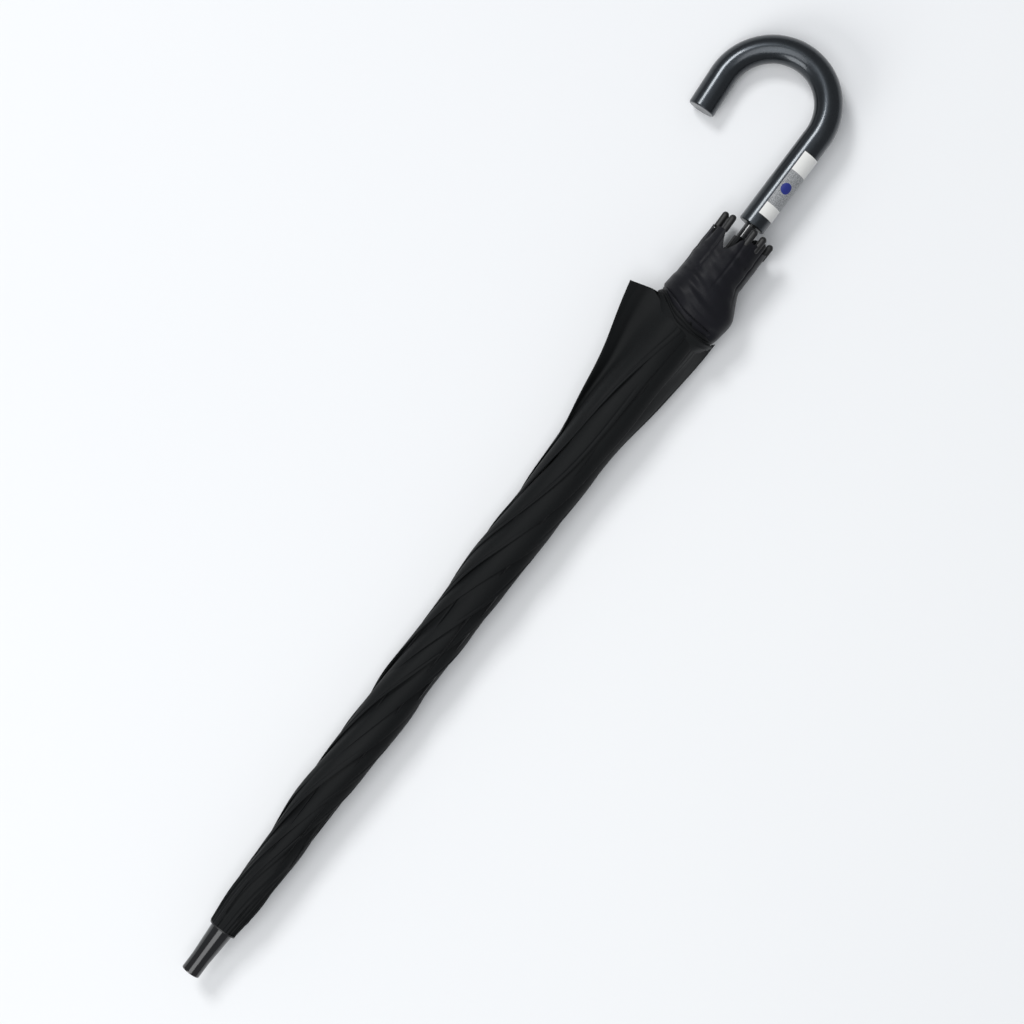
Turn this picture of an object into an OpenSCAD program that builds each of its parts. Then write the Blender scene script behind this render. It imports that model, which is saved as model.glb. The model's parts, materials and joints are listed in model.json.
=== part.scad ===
// Stick umbrella with eight ribs, furled and lying on a surface.
// The shaft runs along +X towards the crook handle, the crook opens to +Y, and +Z is up.
// The origin is under the middle of the bounding box, on the surface that the umbrella lies on.

/* [Shaft] */
// Outer diameter of the shaft tube
shaft_d = 10; // [8:0.5:12]
// Wall of the shaft tube
shaft_wall = 0.8; // [0.6:0.1:1.2]
// Height of the lowest rib tip above the surface
tip_lift = 1.2; // [0.6:0.1:12]

/* [Ferrule] */
// Length of the ferrule
ferrule_len = 43.5; // [30:0.5:80]
// Diameter of the ferrule's straight stretch at its free end
ferrule_tip_d = 16.2; // [14:0.1:17]
// Diameter of the ferrule where it meets the rosette
ferrule_base_d = 20; // [17.2:0.1:22]
// Length of the ferrule's straight stretch
ferrule_straight = 13; // [10:0.5:25]
// Diameter of the rosette that covers the hole in the cloth
rosette_d = 24; // [20:0.5:30]
// Thickness of the rosette
rosette_t = 1.2; // [0.8:0.1:2]

/* [Crown and runner] */
// Distance from the shaft's wall to the circle that the rib and stretcher pivots lie on
pivot_gap = 2.6; // [2.5:0.1:4]
// Distance from the rosette to the rib pivots
crown_gap = 11.3; // [9:0.1:16]
// Length of the runner
runner_len = 52; // [40:1:80]
// Length of the slotted head of the runner
runner_head = 15; // [12:0.5:24]
// Running clearance between the runner and the shaft
runner_clear = 0.1; // [0.05:0.01:0.1]

/* [Ribs and stretchers] */
// Length of a rib from its pivot to the end of its tip
rib_len = 697; // [500:1:900]
// Width of a rib
rib_w = 2.4; // [2:0.1:2.6]
// Depth of a rib
rib_h = 3; // [2:0.1:3.2]
// Distance from a rib's pivot to its stretcher, and the stretcher's own length
stretcher_len = 320; // [220:1:330]
// Depth of a stretcher
stretcher_h = 2.6; // [2:0.1:3]
// Diameter of the rivet between a rib and its stretcher
rivet_d = 1.6; // [1.2:0.1:1.8]
// Radial clearance of the pivots
pivot_clear = 0.05; // [0.02:0.01:0.1]
// Angle between a rib and the shaft when the umbrella is closed
rest_tilt = 1.2; // [1:0.05:1.3]
// Diameter of a rib's tip cap
tip_d = 5.8; // [4:0.1:6.4]
// Length of a rib's tip cap
tip_len = 15.5; // [10:0.5:24]

/* [Canopy] */
// Distance from the circle of the rib tips out to the furled cloth's surface
hem_gap = 4.8; // [4.6:0.1:7]
// Thickness of the furled cloth's outer layers
wrap_t = 0.8; // [0.5:0.1:1]
// Distance from a rib's end to the hem
hem_back = 18; // [12:1:30]
// How far the loose cloth hangs below the round bundle
cloth_sag = 2.4; // [1:0.1:3]
// How far the loose corner on the crook's side stands out from the axis
left_flap_y = 52; // [40:1:70]
// How far the loose corner on the other side stands out from the axis
right_flap_y = 37.5; // [32:0.5:50]
// Length of the loose corners along the shaft
flap_len = 126; // [90:1:180]
// Thickness of the loose corners
flap_t = 1; // [0.6:0.1:2]

/* [Handle] */
// Diameter of the handle's tube
handle_d = 23.5; // [18:0.5:25]
// Length of the handle's straight stretch
handle_straight = 89; // [70:1:140]
// Radius of the crook's centreline
crook_r = 46.5; // [35:0.5:60]
// Angle that the crook turns through
crook_turn = 184; // [170:1:200]
// Length of the crook's straight free end
crook_leg = 32.5; // [10:0.5:50]
// Depth of the shaft in the handle
handle_grip = 30; // [20:1:50]
// Gap between the rib tips and the handle
handle_gap = 3; // [2:0.5:15]
// Length of the label on the handle
label_len = 62; // [30:1:70]
// Width of the label round the handle
label_w = 20; // [12:1:30]
// Distance from the handle's end to the label
label_gap = 11; // [4:1:20]
// Angle round the handle to the label, from the side the crook opens to
label_azimuth = 130; // [0:5:360]

/* [Hidden] */
$fn = 64;

// Ribs are numbered from first_azimuth, which is measured from +Y towards +Z.
ribs = 8;
first_azimuth = 10;
// How far each rib's tip has been pushed round the bundle by the wound cloth, in degrees at the tip
tip_push = [0, -9, 4, -16, -16, -15, -12, 0];

shaft_r = shaft_d / 2;
pivot_r = shaft_r + pivot_gap;
pivot_x = ferrule_len + rosette_t + crown_gap;
tip_radius = pivot_r + rib_len * sin(rest_tilt);
axis_z = tip_radius + tip_d / 2 + tip_lift;
hem_r = tip_radius + hem_gap;
stretcher_x = pivot_x + 2 * stretcher_len * cos(rest_tilt);
rib_end_x = pivot_x + rib_len * cos(rest_tilt);
hem_x = rib_end_x - hem_back;
handle_x = rib_end_x + handle_gap;
crook_x = handle_x + handle_straight;
crook_tilt = asin((axis_z - handle_d / 2) / (2 * crook_r));

// The middle of the bounding box
mid_x = (crook_x + crook_r + handle_d / 2) / 2;
mid_y = (2 * crook_r * cos(crook_tilt) + handle_d / 2 - right_flap_y) / 2;

// Small fits
seat = 0.02;
label_t = 0.15;
slot_gap = 0.15;
wire_r = 0.5;
runner_wire_r = 0.4;

// Solid end of the ferrule, and the space between it and the shaft's end
ferrule_solid = 11;
shaft_back = 2.2;

// Crown and runner bodies
eye_r = 1.9;
crown_r = pivot_r + eye_r;
crown_back = 4.5;
crown_front = 5;
collar_wall = 2;
collar_back = 0.3;
slot_w = rib_w + 2 * slot_gap;
runner_wall = 1.4;
runner_in_r = shaft_r + runner_clear;
runner_tube_r = runner_in_r + runner_wall;
runner_slot_w = 2.7;
runner_lip = 6;
runner_ring_r = (runner_in_r + runner_tube_r) / 2;

// Rib ends: a slim round stretch that the tip cap fits over
slim_r = 1.2;
slim_len = 60;
slim_end = 5;
cap_gap = 0.1;

// Stretcher sections, as distances from its rivet
wall_t = 0.6;
wall_gap = 0.2;
channel_half = rib_w / 2 + wall_gap + wall_t;
channel_tail = 4;
ear_len = 10;
ear_h = 1.2;
web_start = 8;
channel_len = 110;
blade_len = 50;
blade_w = 1.2;
blade_h = 1.6;
web_t = 0.7;
web_drop = rib_h / 2 + 0.4 + web_t;

// Folded gore beside each rib: how far out of the rib's middle it lies, and its size
gore_side = rib_w / 2 + 0.5;
gore_lift = 2.7;
gore_lift_hem = 0.9;
gore_dip = 90;
gore_t = 1.2;
gore_w = 5;
gore_start = 10;
gore_end = 6;

// Catches, as distances along the shaft from the runner's ends
catch_w = 2.4;
catch_len = 9;
catch_travel = 1.6;
catch_leaf = 26;
catch_leaf_t = 0.6;
catch_side = -90;
catch_inset = 14;
leaf_gap = 0.35;
open_tilt = 67;
runner_travel = 2 * stretcher_len * (cos(rest_tilt) - cos(open_tilt));
runner_x0 = stretcher_x - runner_lip;
runner_x1 = runner_x0 + runner_len;
lower_catch_x = runner_x1 - catch_inset;
upper_catch_x = lower_catch_x - runner_travel;

// Outer radius of the furled cloth along the shaft: [share of the way from the crown to the hem, share of hem_r]
furl = [
  [0, 0.44], [0.015, 0.5], [0.03, 0.57], [0.1, 0.62], [0.25, 0.71],
  [0.45, 0.81], [0.66, 0.905], [0.82, 0.965], [0.93, 1], [1, 1]
];
cloth_x0 = ferrule_len + rosette_t;
ring_points = 48;
neck_r = shaft_r + 2.3;
flap_x = hem_x - 74;
flap_root = flap_len + 7;
function furl_point(p, inset) = [cloth_x0 + p[0] * (hem_x - cloth_x0), p[1] * hem_r - inset];

module place() {
  translate([-mid_x, -mid_y, axis_z]) children();
}

// A solid of revolution about the shaft, from [x, r] points
module turned(points) {
  rotate([0, 90, 0]) rotate_extrude() polygon([for (p = points) [p[1], p[0]]]);
}

module tube(x0, x1, r_out, r_in) {
  translate([x0, 0, 0]) rotate([0, 90, 0]) difference() {
    cylinder(r = r_out, h = x1 - x0);
    translate([0, 0, -1]) cylinder(r = r_in, h = x1 - x0 + 2);
  }
}

// A wire ring round the shaft
module wire_ring(x, ring_r, wire) {
  translate([x, 0, 0]) rotate([0, 90, 0]) rotate_extrude() translate([ring_r, 0]) circle(r = wire, $fn = 24);
}

function azimuth(i) = first_azimuth + 360 / ribs * (i - 1);
// Side lean that carries the tip round by tip_push
function lean(i) = atan(tan(tip_push[i - 1]) * tip_radius / rib_len);

// +Y points away from the shaft and +Z round it
module around(angle) {
  rotate([angle, 0, 0]) children();
}

// At a rib's pivot, with +X along the rib before its side lean
module at_rib(i) {
  around(azimuth(i)) translate([pivot_x, pivot_r, 0]) rotate([0, 0, rest_tilt]) children();
}

module leaned(i) {
  rotate([0, -lean(i), 0]) children();
}

// At a rib's rivet, with +X along the stretcher before its side lean
module at_rivet(i) {
  at_rib(i) translate([stretcher_len * cos(lean(i)), 0, stretcher_len * sin(lean(i))])
    rotate([0, 0, -2 * rest_tilt]) children();
}

module pin(r, h) {
  translate([0, 0, -h / 2]) cylinder(r = r, h = h, $fn = 32);
}

module bar(x0, x1, y0, y1, w) {
  translate([x0, y0, -w / 2]) cube([x1 - x0, y1 - y0, w]);
}

module shaft() {
  color("#1b1b1d") place() difference() {
    tube(ferrule_solid + shaft_back, handle_x + handle_grip, shaft_r, shaft_r - shaft_wall);
    for (x = [lower_catch_x, upper_catch_x])
      around(catch_side) bar(x - 0.5, x + catch_len + 0.5, 0, shaft_r + 1, catch_w + 0.4);
  }
}

module ferrule() {
  r0 = ferrule_tip_d / 2;
  r1 = ferrule_base_d / 2;
  edge = 1;
  bore_r = shaft_r + seat;
  color("#161618") place() difference() {
    turned([
      [0, 0], [0, r0 - edge], [edge * 0.3, r0 - edge * 0.3], [edge, r0],
      [ferrule_straight + edge, r0], [ferrule_len, r1], [ferrule_len, 0]
    ]);
    translate([ferrule_solid, 0, 0]) rotate([0, 90, 0]) cylinder(r = bore_r, h = ferrule_len);
  }
}

module rosette() {
  color("#1d1e21") place() tube(ferrule_len, ferrule_len + rosette_t, rosette_d / 2, shaft_r + seat);
}

module crown() {
  color("#2a2a2c") place() difference() {
    union() {
      tube(pivot_x - crown_back, pivot_x + crown_front, crown_r, shaft_r + seat);
      tube(cloth_x0 + collar_back, pivot_x - crown_back, shaft_r + collar_wall, shaft_r + seat);
    }
    for (i = [1:ribs])
      around(azimuth(i)) bar(pivot_x - eye_r - 0.4, pivot_x + crown_front + 1, shaft_r + 0.5, crown_r + 1, slot_w);
    wire_ring(pivot_x, pivot_r, wire_r + seat);
  }
}

module crown_wire() {
  color("silver") place() wire_ring(pivot_x, pivot_r, wire_r);
}

module runner() {
  color("#202022") place() difference() {
    union() {
      tube(runner_x0, runner_x1, runner_tube_r, runner_in_r);
      tube(runner_x0, runner_x0 + runner_head, crown_r, runner_in_r);
    }
    for (i = [1:ribs])
      around(azimuth(i)) bar(runner_x0 - 1, runner_x0 + runner_head + 1, runner_tube_r, crown_r + 1, runner_slot_w);
    wire_ring(stretcher_x, runner_ring_r, runner_wire_r + seat);
    around(catch_side)
      bar(lower_catch_x - 0.5, lower_catch_x + catch_len + 0.5, 0, runner_tube_r + 1, catch_w + 0.4);
  }
}

module runner_wire() {
  color("silver") place() wire_ring(stretcher_x, runner_ring_r, runner_wire_r);
}

// A sprung catch, held in: a wedge that springs out of the shaft by catch_travel, on a leaf inside the tube
module catch(x) {
  bore = shaft_r - shaft_wall;
  leaf_y = bore - catch_travel - leaf_gap - catch_leaf_t;
  tip_y = shaft_r - 0.1;
  around(catch_side) {
    translate([0, 0, -catch_w / 2]) linear_extrude(catch_w)
      polygon([[x, leaf_y], [x + catch_len, leaf_y], [x + catch_len, tip_y], [x + catch_len - 1, tip_y],
               [x, tip_y - catch_travel]]);
    bar(x - catch_leaf, x + 1, leaf_y, leaf_y + catch_leaf_t, catch_w);
  }
}

module lower_catch() {
  color("silver") place() catch(lower_catch_x);
}

module upper_catch() {
  color("silver") place() catch(upper_catch_x);
}

// The straight stretches reach a little way into the crook, and are a hair thinner than it
module handle() {
  r = handle_d / 2;
  edge = 1.2;
  reach = 0.5;
  thin_r = r - seat;
  color("#2b3038") place() rotate([-crook_tilt, 0, 0]) difference() {
    union() {
      turned([[handle_x, 0], [handle_x, thin_r - edge], [handle_x + edge * 0.3, thin_r - edge * 0.3],
              [handle_x + edge, thin_r], [crook_x + reach, thin_r], [crook_x + reach, 0]]);
      translate([crook_x, crook_r, 0]) {
        rotate([0, 0, -90]) rotate_extrude(angle = crook_turn) translate([crook_r, 0]) circle(r = r);
        rotate([0, 0, crook_turn - 90]) translate([crook_r, 0, 0]) rotate([-90, 0, 0]) rotate_extrude()
          polygon([[0, -reach], [thin_r, -reach], [thin_r, crook_leg - edge],
                   [thin_r - edge * 0.3, crook_leg - edge * 0.3], [thin_r - edge, crook_leg], [0, crook_leg]]);
      }
    }
    translate([handle_x - 1, 0, 0]) rotate([0, 90, 0]) cylinder(r = shaft_r + seat, h = handle_grip + 2);
  }
}

// A paper label that wraps part of the way round the handle
module handle_label() {
  r = handle_d / 2 + seat;
  x0 = handle_x + label_gap;
  half = label_w / r * 90 / PI;
  color("white") place() around(label_azimuth) translate([x0, 0, 0]) rotate([0, 90, 0])
    rotate([0, 0, 90 - half]) rotate_extrude(angle = 2 * half) translate([r, 0]) square([label_t, label_len]);
}

// The furled cloth's outer layers: a long hollow cone that sags to the surface, with two loose corners
module canopy() {
  color("#17181b") place() {
    furled();
    loose_corner(flap_x, left_flap_y);
    mirror([0, 1, 0]) loose_corner(flap_x, right_flap_y);
  }
}

// One ring of points round the bundle, low ones let down by sag and stopped at the surface
function ring(x, r, inset, sag) = [
  for (k = [0:ring_points - 1])
    let (a = 360 * k / ring_points)
    [x, r * cos(a), max(inset - axis_z, sin(a) * (r + (a > 180 ? sag : 0)))]
];

// Rings along the outside to the hem, back along the inside, and in to the hole round the crown
module furled() {
  last = len(furl) - 1;
  rings = concat(
    [for (k = [0:last]) let (p = furl_point(furl[k], 0)) ring(p[0], p[1], 0, cloth_sag)],
    [for (k = [last:-1:0]) let (p = furl_point(furl[k], wrap_t))
      ring(p[0] + (k == 0 ? wrap_t : 0), p[1], wrap_t, cloth_sag)],
    [ring(cloth_x0 + wrap_t, neck_r, 0, 0), ring(cloth_x0, neck_r, 0, 0)]
  );
  n = ring_points;
  faces = [
    for (j = [0:len(rings) - 1], k = [0:n - 1])
      let (a = j * n, b = (j + 1) % len(rings) * n, next = (k + 1) % n)
      for (f = [[a + k, b + k, b + next], [a + k, b + next, a + next]]) f
  ];
  polyhedron([for (r = rings) for (q = r) q], faces);
}

// A loose fold that stands out of the bundle's side, rooted in the middle of its wall
module loose_corner(x, y) {
  table = [for (p = furl) furl_point(p, wrap_t / 2)];
  translate([0, 0, -flap_t / 2]) linear_extrude(flap_t)
    polygon(concat(
      [for (k = [0:5]) let (root_x = x - flap_len + flap_root * k / 5) [root_x, lookup(root_x, table)]],
      [[x, y]]
    ));
}

module rib(i) {
  taper_x = rib_len - slim_len;
  color("#242426") place() at_rib(i) difference() {
    union() {
      leaned(i) bar(0, taper_x, -rib_h / 2, rib_h / 2, rib_w);
      leaned(i) translate([taper_x - 1, 0, 0]) rotate([0, 90, 0]) cylinder(r = slim_r, h = slim_len + 1 - slim_end, $fn = 32);
      pin(eye_r, rib_w);
    }
    pin(wire_r + 3 * pivot_clear, 10);
    translate([stretcher_len * cos(lean(i)), 0, stretcher_len * sin(lean(i))]) pin(rivet_d / 2 + pivot_clear, 12);
  }
}

module rib_tip(i) {
  r = tip_d / 2;
  bore_depth = tip_len - slim_end + cap_gap;
  color("#101012") place() at_rib(i) leaned(i) translate([rib_len - tip_len, 0, 0]) rotate([0, 90, 0]) difference() {
    union() {
      cylinder(r1 = r - 0.7, r2 = r, h = 1.5);
      translate([0, 0, 1.5]) cylinder(r = r, h = tip_len - r - 1.5);
      translate([0, 0, tip_len - r]) sphere(r = r);
    }
    translate([0, 0, -1]) cylinder(r = slim_r + seat, h = bore_depth + 1, $fn = 32);
  }
}

module stretcher(i) {
  color("#3a3a3d") place() at_rivet(i) difference() {
    rotate([0, lean(i), 0]) union() {
      for (side = [-1, 1])
        translate([0, 0, side * (channel_half - wall_t / 2) - wall_t / 2]) linear_extrude(wall_t)
          polygon([[-channel_tail, -web_drop], [channel_len, -web_drop], [channel_len, ear_h],
                   [channel_len * 0.75, ear_h], [ear_len + 2, -rib_h / 2 - 0.25], [ear_len, ear_h],
                   [-channel_tail, ear_h]]);
      bar(web_start, channel_len, -web_drop, -web_drop + web_t, 2 * channel_half);
      bar(channel_len - 2, stretcher_len - blade_len, -stretcher_h / 2, stretcher_h / 2, 3);
      bar(channel_len - 2, channel_len + 4, -web_drop, stretcher_h / 2, 3);
      bar(stretcher_len - blade_len - 1, stretcher_len, -blade_h / 2, blade_h / 2, blade_w);
      translate([stretcher_len, 0, 0]) pin(blade_h / 2, blade_w);
    }
    pin(rivet_d / 2 + seat, 12);
  }
}

module rivet(i) {
  head_r = 1.4;
  head_t = 0.4;
  color("silver") place() at_rivet(i) {
    pin(rivet_d / 2, 2 * channel_half + 2 * seat + 0.2);
    for (side = [-1, 1])
      translate([0, 0, side * (channel_half + 0.1 + head_t / 2)]) pin(head_r, head_t);
  }
}

// One eighth of the cloth, folded up beside its rib
module gore(i) {
  x1 = hem_x - pivot_x - gore_end;
  color("#1a1b1e") place() at_rib(i) leaned(i)
    translate([0, 0, gore_side])
    intersection() {
      linear_extrude(gore_w) polygon([
        [gore_start, gore_lift - gore_t / 2], [x1 - gore_dip, gore_lift - gore_t / 2],
        [x1, gore_lift_hem - gore_t / 2], [x1, gore_lift_hem + gore_t / 2],
        [x1 - gore_dip, gore_lift + gore_t / 2], [gore_start, gore_lift + gore_t / 2]
      ]);
      rotate([90, 0, 0]) translate([0, 0, -10]) linear_extrude(20)
        polygon([[gore_start, 0], [x1, 0], [x1, gore_w], [gore_start, 1]]);
    }
}

shaft();
ferrule();
rosette();
crown();
crown_wire();
runner();
runner_wire();
lower_catch();
upper_catch();
handle();
handle_label();
canopy();
for (i = [1:ribs]) rib(i);
for (i = [1:ribs]) rib_tip(i);
for (i = [1:ribs]) stretcher(i);
for (i = [1:ribs]) rivet(i);
for (i = [1:ribs]) gore(i);
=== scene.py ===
"""Looks of the furled stick umbrella: cloth, finishes, label, stage, lights and camera.

Lengths are in metres in the frame's own axes: +X along the shaft towards the handle,
+Y to the side the crook opens to, +Z up. Along-shaft places x are counted from the ferrule's end.
"""
import json
import math

import bpy
import numpy as np
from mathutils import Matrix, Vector

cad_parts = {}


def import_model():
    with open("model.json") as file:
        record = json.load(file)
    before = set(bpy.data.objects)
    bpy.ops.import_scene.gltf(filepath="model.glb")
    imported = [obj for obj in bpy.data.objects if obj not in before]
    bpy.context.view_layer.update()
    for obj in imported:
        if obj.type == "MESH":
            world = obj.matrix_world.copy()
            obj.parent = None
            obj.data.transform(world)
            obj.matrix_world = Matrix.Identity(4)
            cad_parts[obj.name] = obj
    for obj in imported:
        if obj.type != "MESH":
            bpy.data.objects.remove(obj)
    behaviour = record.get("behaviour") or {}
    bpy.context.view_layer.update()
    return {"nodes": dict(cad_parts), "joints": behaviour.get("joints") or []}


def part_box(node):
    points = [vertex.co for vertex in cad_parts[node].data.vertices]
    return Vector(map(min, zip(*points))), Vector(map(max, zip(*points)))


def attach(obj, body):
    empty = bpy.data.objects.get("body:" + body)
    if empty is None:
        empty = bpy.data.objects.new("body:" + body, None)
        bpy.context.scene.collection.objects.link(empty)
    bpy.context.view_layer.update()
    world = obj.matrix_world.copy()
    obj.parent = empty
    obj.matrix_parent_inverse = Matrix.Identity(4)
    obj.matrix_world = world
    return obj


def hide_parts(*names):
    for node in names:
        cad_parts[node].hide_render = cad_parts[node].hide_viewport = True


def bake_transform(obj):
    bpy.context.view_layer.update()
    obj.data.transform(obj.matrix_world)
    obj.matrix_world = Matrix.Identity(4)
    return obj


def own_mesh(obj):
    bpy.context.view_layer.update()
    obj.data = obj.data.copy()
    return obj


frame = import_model()
NODES = frame["nodes"]
JOINTS = {j["name"]: j for j in frame["joints"]}
RIBS = 8

# ---------------------------------------------------------------- places, from the frame
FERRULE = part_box("ferrule")
X0 = FERRULE[0][0]
AXIS_Y = (FERRULE[0][1] + FERRULE[1][1]) / 2
AXIS_Z = (FERRULE[0][2] + FERRULE[1][2]) / 2
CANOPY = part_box("canopy")
CLOTH_START = CANOPY[0][0] - X0
CLOTH_END = CANOPY[1][0] - X0
HANDLE_TUBE = 0.01175     # radius of the handle, which the label is wrapped round


def smooth(a, b, x):
    """0 before a, 1 after b, and an even rise between."""
    t = np.clip((np.asarray(x, float) - a) / (b - a), 0, 1)
    return t * t * (3 - 2 * t)


def world(x, y, z):
    """Points given along the shaft and from its axis, as points in the frame."""
    return np.stack([np.asarray(x) + X0, np.asarray(y) + AXIS_Y, np.asarray(z) + AXIS_Z], -1)


# ---------------------------------------------------------------- materials
def new_material(name):
    m = bpy.data.materials.new(name)
    m.use_nodes = True
    m.node_tree.nodes.clear()
    out = m.node_tree.nodes.new("ShaderNodeOutputMaterial")
    shader = m.node_tree.nodes.new("ShaderNodeBsdfPrincipled")
    m.node_tree.links.new(shader.outputs[0], out.inputs[0])
    return m, shader


def add(m, kind, **inputs):
    """A node of that kind, with its inputs and properties set by name."""
    n = m.node_tree.nodes.new(kind)
    for key, value in inputs.items():
        if key in n.inputs:
            n.inputs[key].default_value = value
        else:
            setattr(n, key, value)
    return n


def link(m, a, out, b, socket):
    m.node_tree.links.new(a.outputs[out], b.inputs[socket])


def ramp(m, source, out, stops):
    """Colours by value: stops is [(place, grey or colour), ...]."""
    r = add(m, "ShaderNodeValToRGB")
    while len(r.color_ramp.elements) < len(stops):
        r.color_ramp.elements.new(0.5)
    for e, (place, colour) in zip(r.color_ramp.elements, stops):
        e.position = place
        e.color = (*colour, 1) if hasattr(colour, "__len__") else (colour, colour, colour, 1)
    link(m, source, out, r, "Fac")
    return r


def noise(m, scale, detail=4.0, stretch=(1, 1, 1), roughness=0.5):
    place = add(m, "ShaderNodeTexCoord")
    mapping = add(m, "ShaderNodeMapping")
    mapping.inputs["Scale"].default_value = stretch
    n = add(m, "ShaderNodeTexNoise", Scale=scale, Detail=detail, Roughness=roughness)
    link(m, place, "Object", mapping, "Vector")
    link(m, mapping, 0, n, "Vector")
    return n


def bump(m, shader, source, out, strength, distance, normal=None):
    b = add(m, "ShaderNodeBump", Strength=strength, Distance=distance)
    link(m, source, out, b, "Height")
    if normal:
        link(m, normal, 0, b, "Normal")
    link(m, b, 0, shader, "Normal")
    return b


def cloth_material(name, dark, light, rough, weave=4200.0):
    """Woven polyester: two crossed threads, soft creases and a faint sheen."""
    m, s = new_material(name)
    s.inputs["Sheen Weight"].default_value = 0.02
    s.inputs["Sheen Roughness"].default_value = 0.4
    s.inputs["Specular IOR Level"].default_value = 0.095
    patches = noise(m, 14.0, 5.0, (0.5, 1.4, 1.4))
    colours = ramp(m, patches, "Fac", [(0.3, dark), (0.75, light)])
    link(m, colours, 0, s, "Base Color")
    gloss = ramp(m, patches, "Fac", [(0.2, rough + 0.1), (0.8, rough - 0.08)])
    link(m, gloss, 0, s, "Roughness")
    place = add(m, "ShaderNodeTexCoord")
    threads = []
    for direction in ("X", "Y"):
        w = add(m, "ShaderNodeTexWave", Scale=weave / 6.28, Distortion=0.3)
        w.bands_direction = direction
        link(m, place, "UV", w, "Vector")
        threads.append(w)
    both = add(m, "ShaderNodeMath")
    both.operation = "MULTIPLY"
    link(m, threads[0], "Fac", both, 0)
    link(m, threads[1], "Fac", both, 1)
    fine = bump(m, s, both, 0, 0.12, 0.00008)
    creases = noise(m, 60.0, 6.0, (0.45, 1.3, 1.3), 0.6)
    bump(m, s, creases, "Fac", 0.28, 0.0012, fine)
    return m


def moulded(name, colour, rough, coat=0.0, speck=0.3):
    """Moulded or painted black: faint mottling, fine orange peel and light handling marks."""
    m, s = new_material(name)
    mottle = noise(m, 90.0, 5.0)
    low = tuple(c * 0.8 for c in colour)
    colours = ramp(m, mottle, "Fac", [(0.35, low), (0.7, colour)])
    link(m, colours, 0, s, "Base Color")
    marks = noise(m, 260.0, 8.0, (0.2, 1, 1), 0.7)
    rough_map = ramp(m, marks, "Fac", [(0.3, rough * 0.85), (0.8, rough * 1.2 + 0.03)])
    link(m, rough_map, 0, s, "Roughness")
    s.inputs["Coat Weight"].default_value = coat
    s.inputs["Coat Roughness"].default_value = 0.08
    bump(m, s, marks, "Fac", speck * 0.3, 0.00005)
    return m


def steel(name, colour=(0.55, 0.55, 0.56), rough=0.32):
    m, s = new_material(name)
    s.inputs["Metallic"].default_value = 1.0
    drawn = noise(m, 700.0, 4.0, (0.05, 1, 1))
    colours = ramp(m, drawn, "Fac", [(0.3, tuple(c * 0.75 for c in colour)), (0.7, colour)])
    link(m, colours, 0, s, "Base Color")
    rough_map = ramp(m, drawn, "Fac", [(0.3, rough * 0.8), (0.8, rough * 1.3)])
    link(m, rough_map, 0, s, "Roughness")
    bump(m, s, drawn, "Fac", 0.15, 0.00004)
    return m


def gunmetal(name):
    """The handle's coat: dark metallic flake under clear gloss."""
    m, s = new_material(name)
    s.inputs["Metallic"].default_value = 0.9
    s.inputs["Coat Weight"].default_value = 0.42
    s.inputs["Coat Roughness"].default_value = 0.11
    flake = noise(m, 2600.0, 2.0)
    colours = ramp(m, flake, "Fac", [(0.35, (0.026, 0.030, 0.035)), (0.7, (0.048, 0.055, 0.062))])
    link(m, colours, 0, s, "Base Color")
    wear = noise(m, 55.0, 6.0, (0.4, 1, 1), 0.65)
    rough_map = ramp(m, wear, "Fac", [(0.35, 0.27), (0.8, 0.36)])
    link(m, rough_map, 0, s, "Roughness")
    bump(m, s, wear, "Fac", 0.02, 0.0001)
    return m


CLOTH = cloth_material("cloth", (0.0055, 0.0062, 0.0066), (0.0082, 0.0090, 0.0095), 0.55)
# A lighter, bluer copy of the same cloth colour, and glossier: painted highlight for the lit inner layers and
# the lit hem band
LIT_CLOTH = cloth_material("cloth_painted_lit", (0.0066, 0.0068, 0.0084), (0.0120, 0.0122, 0.0155), 0.40)
FINISHES = {
    "shaft": moulded("shaft_paint", (0.010, 0.010, 0.011), 0.2, 0.2),
    "ferrule": moulded("ferrule_gloss", (0.006, 0.006, 0.007), 0.14, 0.4),
    "rosette": moulded("rosette_satin", (0.008, 0.008, 0.009), 0.42),
    "crown": moulded("crown_matt", (0.02, 0.02, 0.02), 0.5),
    "runner": moulded("runner_matt", (0.018, 0.018, 0.019), 0.42),
    "rib": moulded("rib_paint", (0.016, 0.016, 0.017), 0.3, 0.2),
    "rib_tip": moulded("tip_satin", (0.0028, 0.0027, 0.0030), 0.48),
    "stretcher": moulded("stretcher_paint", (0.03, 0.03, 0.033), 0.32, 0.2),
    "wire": steel("wire_steel"),
    "catch": steel("catch_steel", (0.5, 0.5, 0.52), 0.28),
    "rivet": steel("rivet_steel", (0.45, 0.45, 0.46), 0.35),
    "handle": gunmetal("handle_gunmetal"),
}
FINISH_OF = {"crown_wire": "wire", "runner_wire": "wire", "lower_catch": "catch", "upper_catch": "catch"}
SHARP_EDGE = math.radians(32)


def finish_nodes():
    """Every CAD node that stays gets its finish, shaded smooth where its faces meet at a low angle."""
    for name, node in NODES.items():
        base = name.rstrip("0123456789").rstrip("_")
        finish = FINISHES.get(FINISH_OF.get(name, base))
        if finish is None:
            continue
        node.data.materials.clear()
        node.data.materials.append(finish)
        node.data.shade_smooth()
        node.data.set_sharp_from_angle(angle=SHARP_EDGE)


# ---------------------------------------------------------------- meshes
SEAM_STEP = 0.001     # width that the UVs give to the faces which close a round sheet


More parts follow.
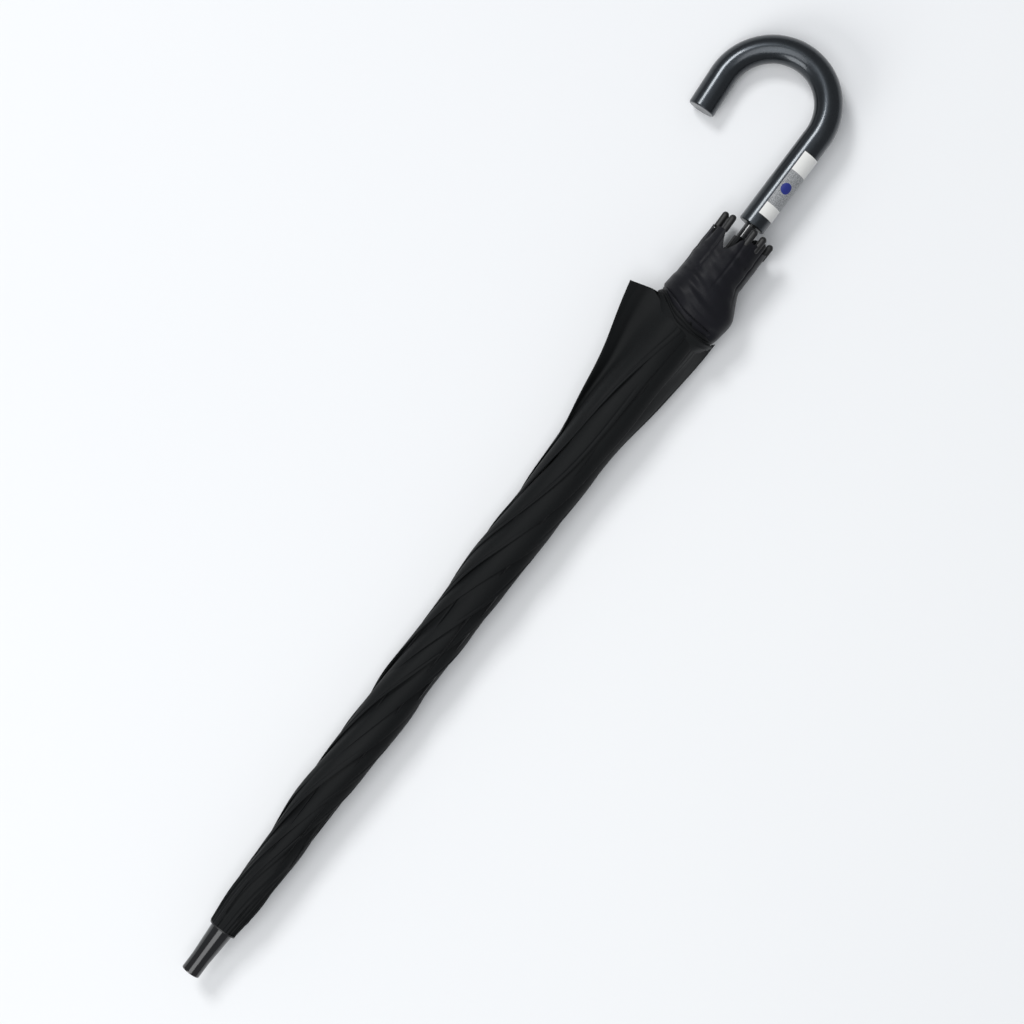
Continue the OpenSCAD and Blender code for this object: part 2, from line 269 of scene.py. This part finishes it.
def sheet_mesh(name, points, material, closed=False):
    """A grid of points, rows along the first index, as a smooth mesh with UVs in metres.

    closed joins each row's two ends."""
    rows, cols = points.shape[:2]
    faces, uvs = [], []
    along = np.concatenate([[0], np.linalg.norm(np.diff(points[:, 0], axis=0), axis=1).cumsum()])
    steps = np.linalg.norm(np.diff(points, axis=1), axis=2)
    across = np.concatenate([np.zeros((rows, 1)), steps.cumsum(axis=1)], axis=1)
    wide = cols if closed else cols - 1
    for r in range(rows - 1):
        for c in range(wide):
            d = (c + 1) % cols
            faces.append((r * cols + c, r * cols + d, (r + 1) * cols + d, (r + 1) * cols + c))
            near, far = [across[q, c] + SEAM_STEP if d == 0 else across[q, d] for q in (r, r + 1)]
            uvs += [(along[r], across[r, c]), (along[r], near)]
            uvs += [(along[r + 1], far), (along[r + 1], across[r + 1, c])]
    mesh = bpy.data.meshes.new(name)
    mesh.from_pydata(points.reshape(-1, 3).tolist(), [], faces)
    layer = mesh.uv_layers.new(name="UVMap")
    layer.data.foreach_set("uv", np.array(uvs, np.float32).ravel())
    mesh.materials.append(material)
    mesh.shade_smooth()
    mesh.update()
    o = bpy.data.objects.new(name, mesh)
    bpy.context.scene.collection.objects.link(o)
    return o


# ---------------------------------------------------------------- furled cloth
# Radius of the bundle along the shaft: (x, radius), joined smoothly
BUNDLE = [(0.0447, 0.0110), (0.050, 0.0116), (0.066, 0.0140), (0.085, 0.0150), (0.115, 0.0155),
          (0.160, 0.0170), (0.200, 0.0182), (0.240, 0.0191), (0.280, 0.0200), (0.320, 0.0193),
          (0.358, 0.0198), (0.400, 0.0216), (0.440, 0.0222), (0.480, 0.0219), (0.530, 0.0230),
          (0.600, 0.0243), (0.640, 0.0256), (0.680, 0.0260)]
# The bundle bends a little to the crook's side between its ends: (x, offset)
BEND = [(0.045, 0), (0.100, 0.0003), (0.160, 0.0018), (0.200, 0.0017), (0.240, 0.0006), (0.280, 0.0006),
        (0.320, 0.0013), (0.358, 0.0004), (0.440, 0.0005), (0.500, 0.0002), (0.740, 0.0003)]
OVERLAP = 0.0075      # how far a pleat lies over the next one
SAG = 0.0022          # how far the cloth hangs down on its underside
STEP = 0.0023         # how far a pleat's fold stands above the next pleat
HEM_X = 0.668         # where the outer layers end, on the underside
TURN_LENGTH = 0.390   # length of one turn of the pleats
FOLD_START = 0.35     # angle of the first fold at the crown
UNDER_WIDTH = 0.48    # how much of a pleat's share is given to the part folded back under it
LEAN_AT = math.radians(75)   # the top pleat's fold, which leans over at the hem
LEAN = 0.40           # how far it leans, as an angle
LEAN_FROM, LEAN_LENGTH = 0.535, 0.118   # where the lean begins, and the length over which it grows
# Loose folds: their angle, where they leave the bundle, where the corner is, and how far it stands out (y, z)
FLAPS = (
    {"azimuth": 0.42, "start": 0.528, "corner": 0.661, "out": (0.0285, -0.004), "reach": 0.9, "power": 1.15},
    {"azimuth": 3.25, "start": 0.522, "corner": 0.662, "out": (-0.0125, 0.001), "reach": 0.85, "power": 1.05},
)


def along_list(x, table):
    """A value read from an (x, value) list, with its corners rounded off."""
    xs, values = zip(*table)
    x = np.asarray(x, float)
    near = [np.interp(x + d, xs, values) for d in (-0.012, -0.006, 0, 0.006, 0.012)]
    return np.mean(near, axis=0)


def twist(x):
    """How far the pleats have turned round the shaft at x: they run nearly straight at both ends."""
    grid = np.linspace(0, 0.8, 801)
    rate = (0.12 + 0.88 * smooth(0.055, 0.115, grid)) * (1 - 0.86 * smooth(0.44, 0.56, grid))
    total = np.concatenate([[0], (0.5 * (rate[1:] + rate[:-1]) * np.diff(grid)).cumsum()])
    return np.interp(x, grid, total) * 2 * math.pi / TURN_LENGTH


def flatten(y, z, rest=0.0006):
    """Loose cloth lies on the surface: low points are let down, then stopped at the height rest."""
    low = np.clip(-z / 0.02, 0, 1)
    z = z - SAG * low
    return y, np.maximum(z, rest - AXIS_Z)


def off_angle(a, b):
    """How far apart two directions round the shaft are."""
    return np.abs((a - b + math.pi) % (2 * math.pi) - math.pi)


def pleat_lay():
    """Points across one pleat as (share, turned under): its face, its fold and the part beneath."""
    face = [(w, 0) for w in (*np.linspace(0.0, 0.56, 9), *np.linspace(0.60, 1.0, 14))]
    turned = [(1.0, 0.5), (1.0, 1.0)]
    beneath = [(1.0 - v, 1.5) for v in (0.12, 0.3, UNDER_WIDTH)]
    return face + turned + beneath


def pleat_row(x, k, leaning, phase, lay):
    """Pleat k's points round the shaft at x, as (y, z, share of its width, angle)."""
    r = float(along_list(x, BUNDLE))
    open_up = float(smooth(0.05, 0.10, x))
    gathers = float(1 - smooth(0.07, 0.13, x))
    back = OVERLAP / r * open_up + 0.05
    a1 = FOLD_START + float(twist(x)) + (k + 1) * 2 * math.pi / RIBS
    a1 += 0.09 * math.sin(9 * x * (1 + k % 3) + phase[0])
    a1 += leaning * LEAN * min(1.1, max(0.0, (x - LEAN_FROM) / LEAN_LENGTH)) ** 2
    a0 = a1 - 2 * math.pi / RIBS
    lively = 1 + 0.45 * math.sin(21 * x + phase[3])
    tight = (0.5 - 0.3 * leaning) * float(smooth(0.59, 0.65, x))
    tight += 0.4 * float(smooth(0.42, 0.49, x) * (1 - smooth(0.54, 0.60, x)))
    step = STEP * (0.25 + 0.75 * open_up) * r / 0.022 * lively * (1 - tight)
    soft = 0.0007 * math.sin(38 * x + phase[1]) + 0.0004 * math.sin(83 * x + phase[2])
    line = 0.80 + 0.06 * math.sin(13 * x + phase[4])
    depth = 0.00075 * open_up * max(0.0, math.sin(17 * x + phase[5])) ** 0.6
    row = []
    for w, under in lay:
        if under:
            a = a1 - (1.0 - w) * back / UNDER_WIDTH
            rr = r + soft - step * (0.25 + 0.55 * min(under, 1.0))
        else:
            a = a0 + w * (a1 - a0)
            crown = 0.0007 * math.sin(math.pi * w) * open_up
            crease = depth * math.exp(-((w - line) / 0.035) ** 2)
            gather = 0.00035 * gathers * math.cos(2 * math.pi * 3 * w)
            rr = r + soft - step * (1 - w ** 1.3) + crown - crease + gather
        row.append((rr * math.cos(a), rr * math.sin(a), w, a))
    return row


def furled_cloth():
    """The outer layers of the wound cloth: eight pleats, each folded back under itself, in one sheet.

    The top pleat's fold leans over at the hem. Two other folds come loose there and stand out as flaps."""
    xs = np.linspace(CLOTH_START, HEM_X, 300)
    phase = np.random.default_rng(7).uniform(0, 2 * math.pi, (RIBS, 6))
    lay = pleat_lay()
    folds = FOLD_START + float(twist(HEM_X)) + (np.arange(RIBS) + 1) * 2 * math.pi / RIBS
    top = int(np.argmin(off_angle(folds, LEAN_AT)))
    rings = [[pleat_row(x, k, k == top, phase[k], lay) for k in range(RIBS)] for x in xs]
    pts = np.array(rings).reshape(len(xs), RIBS * len(lay), 4)
    share, angle = pts[..., 2], pts[..., 3]
    pleat = np.repeat([np.repeat(np.arange(RIBS), len(lay))], len(xs), 0)
    y, z = pts[..., 0] + along_list(xs, BEND)[:, None], pts[..., 1]
    along = np.repeat(xs[:, None], pts.shape[1], 1)
    for flap in FLAPS:
        y, z = pull_flap(flap, y, z, xs, pleat, share, angle)
    along = hem_curve(along, y, z)
    y, z = flatten(y, z)
    return sheet_mesh("furled_canopy", world(along, y, z), CLOTH)


def pull_flap(flap, y, z, xs, pleat, share, angle):
    """Draws one pleat's fold outwards, more and more towards the hem."""
    row = int(np.argmin(abs(xs - flap["corner"])))
    fold = share[row] > 0.999
    off = off_angle(angle[row], flap["azimuth"])
    k = pleat[row][fold][np.argmin(off[fold])]
    rise = np.clip((xs - flap["start"]) / (flap["corner"] - flap["start"]), 0, 1.05) ** flap["power"]
    mine = (pleat == k) * np.clip((share - (1 - flap["reach"])) / flap["reach"], 0, 1) ** 1.6
    dy, dz = flap["out"]
    return y + mine * rise[:, None] * dy, z + mine * rise[:, None] * dz


# The outer hem seen from above: (y, x), from the far side's loose corner to the crook side's
HEM_LINE = [(-0.040, 0.659), (-0.031, 0.6565), (-0.022, 0.6540), (-0.012, 0.6520), (0.0, 0.6525),
            (0.007, 0.6550), (0.014, 0.6590), (0.020, 0.6640), (0.026, 0.6685), (0.034, 0.6670),
            (0.052, 0.6610)]
# How far each inner layer's hem stands out past the outer hem: y, then one place a layer
HEM_STEPS = [(-0.036, 0.0004, 0.0012, 0.0030, 0.0075), (-0.027, 0.0006, 0.0018, 0.0045, 0.0098),
             (-0.012, 0.0022, 0.0046, 0.0078, 0.0128), (0.0, 0.0030, 0.0060, 0.0094, 0.0144),
             (0.014, 0.0024, 0.0047, 0.0072, 0.0112), (0.026, 0.0012, 0.0024, 0.0038, 0.0062)]
LAYERS = 4            # how many inner hems show
HEM_RADIUS = 0.0256   # of the first inner hem
CLOTH_EDGE = 0.7385   # where the cloth ends at the tips on the crook's side
TIP_HOLD = math.radians(10.5)   # half of the angle that the cloth is tied over at each tip
SLEEVE_START = 0.638  # where the sleeve begins, under the outer layers
SHIFT = 0.0006        # how far the loose end lies to the crook's side of the axis


def across_list(y, table, column=1):
    """A value read from a list by its place y across the shaft, with its corners rounded off."""
    ys, values = [row[0] for row in table], [row[column] for row in table]
    return np.mean([np.interp(y + d, ys, values) for d in (-0.003, 0, 0.003)], axis=0)


def hem_place(y, z):
    """Where the outer hem is along the shaft: curved on the upper side, straight below."""
    return HEM_X + (across_list(y, HEM_LINE) - HEM_X) * smooth(-0.020, -0.006, z)


def hem_curve(along, y, z):
    """The hem bows towards the crown across the top, and the cloth above it is drawn in with it."""
    return along + (hem_place(y, z) - HEM_X) * smooth(HEM_X - 0.09, HEM_X, along)


def tip_places():
    """Each rib tip's angle round the shaft and its distance from the axis, in order of angle."""
    mids = [np.mean(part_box(f"rib_tip_{i}"), axis=0) for i in range(1, RIBS + 1)]
    places = [(m[1] - AXIS_Y, m[2] - AXIS_Z) for m in mids]
    return np.array(sorted((math.atan2(z, y) % (2 * math.pi), math.hypot(y, z)) for y, z in places))


def sleeve():
    """The inner layers, which reach the rib tips. Creases run round them, and the edge dips between tips."""
    rows, cols = 120, 256
    angles = np.linspace(0, 2 * math.pi, cols, endpoint=False)
    tips, reach = tip_places().T
    after = np.searchsorted(tips, angles) % RIBS
    span = (tips[after] - tips[after - 1]) % (2 * math.pi)
    between = ((angles - tips[after - 1]) % (2 * math.pi)) / span
    free = np.clip((between * span - TIP_HOLD) / (span - 2 * TIP_HOLD), 0, 1)
    drawn = smooth(-0.1, 0.5, -np.cos(angles))
    dip = (1 - np.abs(2 * free - 1) ** 1.6) * span * (1 - 0.85 * drawn)
    edge = CLOTH_EDGE + 0.0045 * drawn - 0.0128 * dip
    v = np.linspace(0, 1, rows)[:, None]
    x = SLEEVE_START + (edge[None, :] - SLEEVE_START) * v
    a = np.repeat(angles[None, :], rows, 0)
    cos, sin = np.cos(a), np.sin(a)
    r = 0.0258 - 0.0006 * smooth(0.678, 0.705, x)
    r = r + 0.0018 * smooth(0.3, 0.95, cos) * (1 - smooth(0.672, 0.698, x))
    held = smooth(0.715, 0.738, x)
    cap = np.interp(angles, tips, reach + 0.0026, period=2 * math.pi)
    r = r + held * (cap - r - 0.0022 * dip[None, :])
    ring = x - 0.27 * r * cos
    top = 0.2 + 0.8 * smooth(0.1, 0.8, sin + 0.2 * cos)
    creases = 0.0
    for length, height, wander, start in ((0.0135, 0.00062, 2.0, 0.3), (0.0087, 0.00030, 3.0, 1.9)):
        creases = creases + height * np.sin(2 * math.pi * ring / length + 1.1 * np.sin(wander * a + start))
    patch = 0.6 + 0.4 * np.sin(2 * a + 55 * x)
    r = r + creases * top * patch * smooth(0.662, 0.672, x) * (1 - 0.6 * held)
    lengthwise = np.abs(np.sin(4 * a + 0.9 * np.sin(24 * x)))
    r = r - 0.0007 * np.exp(-(lengthwise / 0.16) ** 2) * smooth(0.685, 0.72, x)
    y, z = r * cos, r * sin
    bulge = (1 - smooth(0.680, 0.709, x)) * smooth(0.1, 0.95, -cos) * smooth(0.640, 0.668, x)
    bulge = bulge * (0.0086 + 0.0016 * smooth(0.664, 0.680, x))
    last = hem_edge(LAYERS - 1, y - bulge, z)
    past = (x - last) / (1 - 0.6 * smooth(0.4, 0.9, cos))
    under = 1 - smooth(-0.002, 0.006, past)
    under = under * (1 - smooth(0.72, 0.97, -cos) * smooth(0.655, 0.660, x))
    hidden = 1 - smooth(-0.005, 0.001, x - hem_place(y - bulge, z))
    shrink = 1 - (0.14 - 0.07 * smooth(0.5, 0.95, cos) * (1 - hidden)) * under - 0.05 * hidden
    y, z = y * shrink, z * shrink
    y = y - bulge * (1 - 0.2 * under) + SHIFT
    y, z = flatten(y, z, 0.0012)
    # the inner layers take the lighter cloth colour, a painted highlight
    return sheet_mesh("canopy_sleeve", world(x, y, z), LIT_CLOTH, closed=True)


def tuck():
    """The gathered cloth that shows between the shaft and the tips on the side away from the crook."""
    rows, cols = 40, 150
    angles = np.linspace(math.radians(78), math.radians(285), cols)
    edge = 0.7415 + 0.0016 * np.sin(5 * angles) + 0.0012 * np.sin(11 * angles + 1.0)
    edge = edge + 0.0065 * smooth(1.85, 2.1, angles) * (1 - smooth(2.7, 3.2, angles))
    v = np.linspace(0, 1, rows)[:, None]
    x = 0.690 + (edge[None, :] - 0.690) * v
    folds = 0.0016 * np.sin(13 * angles[None, :] + 20 * x) + 0.0007 * np.sin(29 * angles[None, :] + 2.0)
    r = 0.0155 + folds * (0.4 + 0.6 * v)
    y, z = r * np.cos(angles), r * np.sin(angles)
    return sheet_mesh("canopy_tuck", world(x, y, z), CLOTH)


def hem_edge(k, y, z):
    """Where the hem of inner layer k is along the shaft."""
    return hem_place(y, z) + across_list(y, HEM_STEPS, k + 1)


def hem_band(k):
    """The hem of inner layer k: a curved band with a rolled edge that turns under."""
    angles = np.linspace(0, 2 * math.pi, 240, endpoint=False)
    cos, sin = np.cos(angles), np.sin(angles)
    flat = [(w, 0.0) for w in np.linspace(0, 0.8, 10)]
    rolled = [(0.9, 0.00030), (0.96, 0.00034), (1.0, -0.0001)]
    rows = []
    for v, roll in flat + rolled:
        r = HEM_RADIUS - 0.0006 * k + roll - 0.0042 * (1 - v) ** 1.4
        r = r + 0.0024 * smooth(0.3, 0.95, cos) * v
        y, z = r * cos + SHIFT, r * sin
        out = (0.0090 - 0.0006 * k) * smooth(0.1, 0.95, -cos) * (0.6 + 0.4 * v)
        y = y - out
        edge = hem_edge(k, y, z) + 0.0004 * np.sin(7 * angles + 2 * k)
        x = edge - (1 - v) * (0.010 + 0.0022 * k)
        y, z = flatten(y, z, 0.0008)
        rows.append(world(x, y, z))
    outward = np.stack([0 * cos, cos, sin], -1)
    for back, down in ((0.0022, 0.0009), (0.0030, 0.0012)):
        rows.append(rows[-1] + [[-back, 0.0, 0.0]] - down * outward)
    # the last inner hem, the light band, takes the lighter cloth colour: painted highlight
    material = LIT_CLOTH if k == LAYERS - 1 else CLOTH
    return sheet_mesh(f"canopy_hem_{k + 1}", np.array(rows), material, closed=True)


# ---------------------------------------------------------------- gores, folded at rest
PACK_LAYERS = 48      # how many times a gore is folded to and fro beside its rib
PACK_DEPTH = 0.0012   # thickness of the folded stack
PACK_WIDTH = 0.0046   # width of the stack at the hem
PACK_LIFT = 0.0042    # how far the stack lies outside its rib at the crown, and evenly less to 0 at the hem
GORE_START = 0.012    # from the gore's hinge to the first row of cloth
HEM_DIP = 0.055       # how far a gore's hem curves in between two ribs


def gore(i):
    """One eighth of the cloth, folded to and fro beside its rib."""
    hinge = JOINTS[f"gore_{i}_hinge"]
    body = f"gore_{i}"
    apex, axis = np.array(hinge["pos_m"]), np.array(hinge["axis"], float)
    axis /= np.linalg.norm(axis)
    tip = np.mean(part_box(f"rib_tip_{i}"), axis=0)
    along = tip - np.array(JOINTS[f"rib_{i}_hinge"]["pos_m"])
    along /= np.linalg.norm(along)
    side = np.cross(axis, along)
    side /= np.linalg.norm(side)
    inward = np.cross(along, side)
    length = (CLOTH_END + X0 - apex[0]) / along[0] - 0.004
    folds = 2 * PACK_LAYERS
    f = np.linspace(0, 1, folds + 1)
    stack = 0.5 - np.sin(np.arcsin(1 - 2 * f) / 3)
    sway = np.where(np.arange(folds + 1) % 2 == 0, -0.5, 0.5)
    rows = []
    for s in np.linspace(GORE_START, length, 56):
        share = s / length
        mid = (0.0017 + 0.5 * PACK_WIDTH) * min(1.0, 0.35 + share)
        hem = s - HEM_DIP * share ** 6 * np.sin(math.pi * f)
        hem = np.where(share > 0.4, hem, s)
        p = apex + np.outer(hem, along) + np.outer(mid + sway * PACK_WIDTH * share, side)
        lift = PACK_LIFT * (1 - hem / length)
        rows.append(p + np.outer((stack - 0.5) * PACK_DEPTH - lift, inward))
    o = sheet_mesh(f"canopy_gore_{i}", np.array(rows), CLOTH)
    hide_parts(body)
    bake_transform(o)


# ---------------------------------------------------------------- label
LABEL_AZIMUTH = math.radians(130)   # the label's middle, round the handle
LABEL_WIDTH = 0.020                 # round the handle
LABEL_PROUD = 0.0002                # how far it stands off the tube
WHITE, GREY = (0.72, 0.72, 0.70), (0.34, 0.35, 0.36)
BLUE = (0.014, 0.024, 0.19, 1)
GREY_BAND = (0.17, 0.70)            # the grey middle, as shares of the label's length
DISC_RADIUS = 0.0048


def label():
    """A paper label with two pale ends, a grey middle and a plain blue disc. It carries no text."""
    low, high = (np.array(c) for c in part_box("handle_label"))
    radius = HANDLE_TUBE + LABEL_PROUD
    half = LABEL_WIDTH / radius / 2
    x0, x1 = low[0] - X0, high[0] - X0
    xs = np.linspace(x0, x1, 60)
    angles = np.linspace(LABEL_AZIMUTH - half, LABEL_AZIMUTH + half, 40)
    x, a = np.meshgrid(xs, angles, indexing="ij")
    lift = 0.00012 * (1 - np.minimum(1, np.minimum(abs(x - x0), abs(x - x1)) / 0.001))
    r = radius + lift
    o = sheet_mesh("label_paper", world(x, r * np.cos(a), r * np.sin(a)), label_paper(x1 - x0))
    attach(o, "root")
    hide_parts("handle_label")


def math_node(m, kind, operation, source, out, value):
    """A node that joins one output with a fixed value."""
    n = add(m, kind)
    n.operation = operation
    n.inputs[1].default_value = value
    link(m, source, out, n, 0)
    return n


def bands(m, share, ends, middle):
    """Two end bands and a middle band with sharp borders."""
    a, b = GREY_BAND
    stops = [(0.0, ends), (a, ends), (a + 0.01, middle), (b, middle), (b + 0.01, ends), (1.0, ends)]
    r = ramp(m, share, 0, stops)
    r.color_ramp.interpolation = "CONSTANT"
    return r


def label_paper(length):
    m, s = new_material("label_print")
    place = add(m, "ShaderNodeTexCoord")
    split = add(m, "ShaderNodeSeparateXYZ")
    link(m, place, "UV", split, 0)
    share = math_node(m, "ShaderNodeMath", "DIVIDE", split, "X", length)
    ground = bands(m, share, WHITE, GREY)
    disc_middle = (length * 0.46, LABEL_WIDTH * 0.32, 0)
    disc = math_node(m, "ShaderNodeVectorMath", "DISTANCE", place, "UV", disc_middle)
    inside = math_node(m, "ShaderNodeMath", "LESS_THAN", disc, "Value", DISC_RADIUS)
    mix = add(m, "ShaderNodeMix")
    mix.data_type = "RGBA"
    link(m, inside, 0, mix, 0)
    print_grain = noise(m, 1100.0, 2.0, (1, 1.6, 1.6))
    tint = ramp(m, print_grain, "Fac", [(0.42, 0.35), (0.56, 1.0)])
    shade = add(m, "ShaderNodeMix")
    shade.data_type = "RGBA"
    shade.blend_type = "MULTIPLY"
    link(m, bands(m, share, 0.0, 0.8), 0, shade, 0)
    link(m, ground, 0, shade, 6)
    link(m, tint, 0, shade, 7)
    link(m, shade, 2, mix, 6)
    mix.inputs[7].default_value = BLUE
    fibre = noise(m, 1500.0, 3.0)
    link(m, mix, 2, s, "Base Color")
    s.inputs["Roughness"].default_value = 0.38
    bump(m, s, fibre, "Fac", 0.08, 0.00005)
    return m


# ---------------------------------------------------------------- stage
def floor_material():
    m, s = new_material("floor")
    cloud = noise(m, 1.2, 2.0)
    colours = ramp(m, cloud, "Fac", [(0.3, (0.815, 0.825, 0.84)), (0.7, (0.83, 0.84, 0.85))])
    link(m, colours, 0, s, "Base Color")
    s.inputs["Roughness"].default_value = 0.9
    return m


def area_light(name, place, size, power, colour):
    """A soft light at place that points at the frame's origin."""
    data = bpy.data.lights.new(name, "AREA")
    data.shape = "RECTANGLE"
    data.size, data.size_y = size, size
    data.energy = power
    data.color = colour
    o = bpy.data.objects.new(name, data)
    bpy.context.scene.collection.objects.link(o)
    o.location = place
    o.rotation_euler = (-Vector(place)).to_track_quat("-Z", "Y").to_euler()


PICTURE_TURN = math.radians(53.07)   # how steeply the shaft rises to the right in the picture
AIM = (0.0029, -0.0175)              # the picture's middle, in the frame's x and y
VIEW_WIDTH = 0.829                   # width of the picture at the shaft's height
LENS = 100.0
SENSOR = 36.0


FLOOR_HALF = 6.0


def floor_and_camera():
    """A plain pale floor, and a camera that looks straight down."""
    floor = bpy.data.meshes.new("floor")
    corners = [(-1, -1), (1, -1), (1, 1), (-1, 1)]
    floor.from_pydata([(FLOOR_HALF * x, FLOOR_HALF * y, 0) for x, y in corners], [], [(0, 1, 2, 3)])
    floor.materials.append(floor_material())
    o = bpy.data.objects.new("floor", floor)
    bpy.context.scene.collection.objects.link(o)
    o.location.z = CANOPY[0][2] - 0.0002
    data = bpy.data.cameras.new("camera")
    data.lens, data.sensor_width = LENS, SENSOR
    data.clip_end = 50
    camera = bpy.data.objects.new("camera", data)
    bpy.context.scene.collection.objects.link(camera)
    camera.location = (AIM[0], AIM[1], VIEW_WIDTH * LENS / SENSOR + AXIS_Z)
    camera.rotation_euler = (0, 0, -PICTURE_TURN)
    bpy.context.scene.camera = camera


def lights():
    """Three soft lights and a pale sky. at() takes places as right, up and towards the viewer."""
    right = np.array([math.cos(PICTURE_TURN), -math.sin(PICTURE_TURN), 0])
    up = np.array([math.sin(PICTURE_TURN), math.cos(PICTURE_TURN), 0])
    back = np.array([0, 0, 1.0])

    def at(r, u, b):
        return tuple(right * r + up * u + back * b)

    area_light("window", at(-1.9, 3.15, 4.5), 1.5, 132, (0.99, 0.995, 1.0))
    area_light("ceiling", at(-0.6, -0.6, 4.2), 3.0, 80, (0.98, 0.99, 1.0))
    area_light("low_left", at(-3.6, -3.2, 2.8), 3.0, 125, (1.0, 0.995, 0.985))
    world_data = bpy.data.worlds.new("studio")
    world_data.use_nodes = True
    background = world_data.node_tree.nodes["Background"]
    background.inputs[0].default_value = (0.93, 0.96, 1.0, 1)
    background.inputs[1].default_value = 0.29
    bpy.context.scene.world = world_data
    bpy.context.scene.view_settings.view_transform = "Standard"


# ---------------------------------------------------------------- the whole
def build():
    floor_and_camera()
    lights()
    finish_nodes()
    outer = furled_cloth()
    inner = sleeve()
    edges = [hem_band(k) for k in range(LAYERS)]
    gathered = tuck()
    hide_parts("canopy")
    for piece in (outer, inner, gathered, *edges):
        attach(piece, "root")
        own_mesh(piece)
    for i in range(1, RIBS + 1):
        gore(i)
    label()


build()
